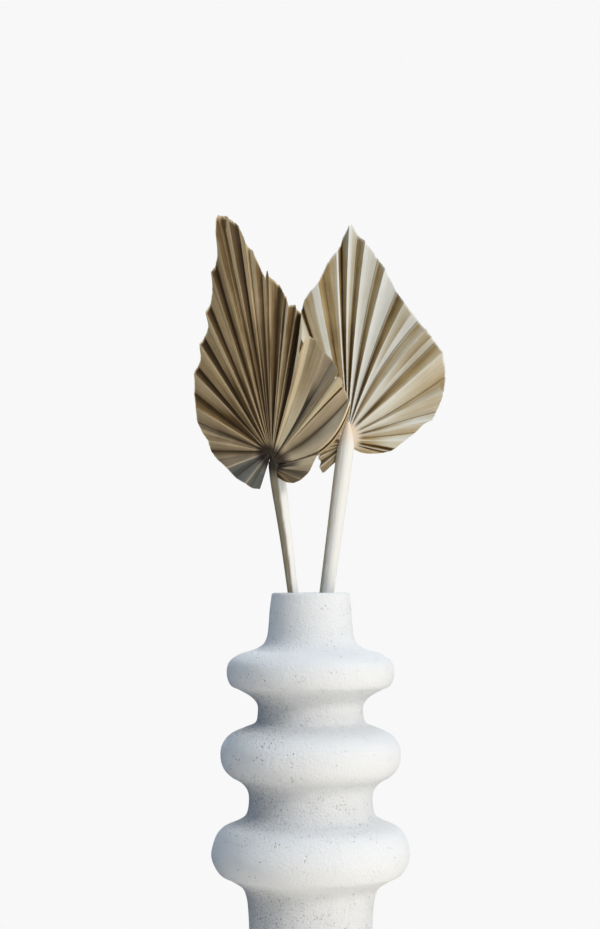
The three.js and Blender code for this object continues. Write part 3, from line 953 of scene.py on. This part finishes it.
class PALMVASE_OT_stage(bpy.types.Operator):
    """Lay the pale floor, set the soft lights and place the camera"""

    bl_idname = "palmvase.stage"
    bl_label = "Stage"

    def execute(self, context):
        own = settings()
        scene = context.scene
        scene.view_settings.view_transform = "Standard"
        self.floor(own)
        self.world(own)
        self.sun("key_light", own.key_strength, own.key_colour, self.direction(*KEY_FROM), KEY_WIDTH)
        self.sun("back_light", own.back_strength, own.back_colour, self.direction(*BACK_FROM), BACK_WIDTH)
        self.camera(scene)
        return {"FINISHED"}

    def floor(self, own):
        """A flat square that looks plain but for a painted soft shadow at the vase's foot, and glows to throw
        light back.
        """
        mesh = bpy.data.meshes.new("floor")
        corners = [(x * FLOOR_REACH, y * FLOOR_REACH, 0) for x, y in ((-1, -1), (1, -1), (1, 1), (-1, 1))]
        mesh.from_pydata(corners, [], [(0, 1, 2, 3)])
        piece = bpy.data.objects.new("floor", mesh)
        bpy.context.scene.collection.objects.link(piece)
        material = bpy.data.materials.new("pale_floor")
        shader = Shader(material)
        distance = {"Distance": CONTACT_SHADE}
        open_above = shader.add("ShaderNodeAmbientOcclusion", {"samples": 8}, distance, "AO")
        plain = (own.background,) * 3
        # Painted soft shadow at the vase's foot, seen by the camera
        seen = shader.mix(open_above.between(0.2, 1), shaded(plain, 0.45), plain)
        glow = shader.add("ShaderNodeEmission", None, {"Color": seen})
        # The floor glows with painted bounce light: warm towards the front right, the shade colour elsewhere
        front = self.facing(shader, shader.place(), *BOUNCE_FROM).between(-0.12, 0.12)
        bounce = shader.mix(front, own.shade_side, own.floor_bounce)
        thrown = shader.add("ShaderNodeEmission", None, {"Color": bounce, "Strength": 1.15})
        shader.output("ShaderNodeOutputMaterial", self.for_camera(shader, thrown, glow))
        mesh.materials.append(material)

    def for_camera(self, shader, lit, seen):
        """A stage surface or sky that lights the object as lit and is seen plain."""
        direct = shader.add("ShaderNodeLightPath", None, None, "Is Camera Ray")
        return shader.add("ShaderNodeMixShader", None, {0: direct, 1: lit, 2: seen})

    def world(self, own):
        """Light from all round: a smooth step from the dim sides to the bright overhead."""
        world = bpy.data.worlds.new("studio")
        shader = Shader(world)
        towards = shader.add("ShaderNodeTexCoord", None, None, "Generated")
        high = self.facing(shader, towards, *OVERHEAD_FROM).between(0.4, 1)
        sky = shader.mix(high, own.shade_side, shaded(own.overhead, own.overhead_strength))
        lit = shader.add("ShaderNodeBackground", None, {"Color": sky})
        seen = shader.add("ShaderNodeBackground", None, {"Color": (own.background,) * 3})
        shader.output("ShaderNodeOutputWorld", self.for_camera(shader, lit, seen))
        bpy.context.scene.world = world

    def facing(self, shader, vector, azimuth, elevation):
        """How far a vector points towards the given side."""
        side = self.direction(azimuth, elevation)
        return shader.add("ShaderNodeVectorMath", {"operation": "DOT_PRODUCT"}, {0: vector, 1: side}, "Value")

    def direction(self, azimuth, elevation):
        """Towards the given side: azimuth 0 is the front and 90 the right, in degrees."""
        a, e = math.radians(azimuth), math.radians(elevation)
        return Vector((math.sin(a) * math.cos(e), -math.cos(a) * math.cos(e), math.sin(e)))

    def sun(self, name, strength, colour, towards, angle):
        """A soft distant light from the given direction."""
        light = bpy.data.lights.new(name, "SUN")
        light.energy = strength
        light.color = colour
        light.angle = math.radians(angle)
        lamp = bpy.data.objects.new(name, light)
        lamp.rotation_euler = towards.to_track_quat("Z", "Y").to_euler()
        lamp.location = towards * 2
        bpy.context.scene.collection.objects.link(lamp)

    def camera(self, scene):
        """The camera, level with the vase's mouth and looking slightly up at the leaves."""
        lens = bpy.data.cameras.new("camera")
        eye = Vector(CAMERA_EYE) * MM
        aim = Vector(CAMERA_AIM) * MM
        lens.sensor_fit = "VERTICAL"
        lens.sensor_height = SENSOR_HEIGHT
        lens.lens = SENSOR_HEIGHT * (aim - eye).length / (SEEN_HEIGHT * MM)
        lens.clip_end = 50
        camera = bpy.data.objects.new("camera", lens)
        camera.location = eye
        camera.rotation_euler = (aim - eye).to_track_quat("-Z", "Y").to_euler()
        scene.collection.objects.link(camera)
        scene.camera = camera


class PALMVASE_PT_sidebar(bpy.types.Panel):
    """The palm vase's settings and steps"""

    bl_label = "Palm vase"
    bl_idname = "PALMVASE_PT_sidebar"
    bl_space_type = "VIEW_3D"
    bl_region_type = "UI"
    bl_category = "Palm vase"

    def draw(self, context):
        own = settings()
        for key in PalmVaseSettings.__annotations__:
            self.layout.prop(own, key)
        for step in OPERATORS:
            self.layout.operator(step.bl_idname)


OPERATORS = (PALMVASE_OT_vase, PALMVASE_OT_left_leaf, PALMVASE_OT_right_leaf, PALMVASE_OT_stage)
CLASSES = (PalmVaseSettings, *OPERATORS, PALMVASE_PT_sidebar)


def register():
    for each in CLASSES:
        bpy.utils.register_class(each)
    bpy.types.Scene.palm_vase = PointerProperty(type=PalmVaseSettings)


def unregister():
    del bpy.types.Scene.palm_vase
    for each in reversed(CLASSES):
        bpy.utils.unregister_class(each)


def main():
    register()
    bpy.ops.palmvase.vase()
    bpy.ops.palmvase.left_leaf()
    bpy.ops.palmvase.right_leaf()
    bpy.ops.palmvase.stage()
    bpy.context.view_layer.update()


if __name__ == "__main__":
    main()
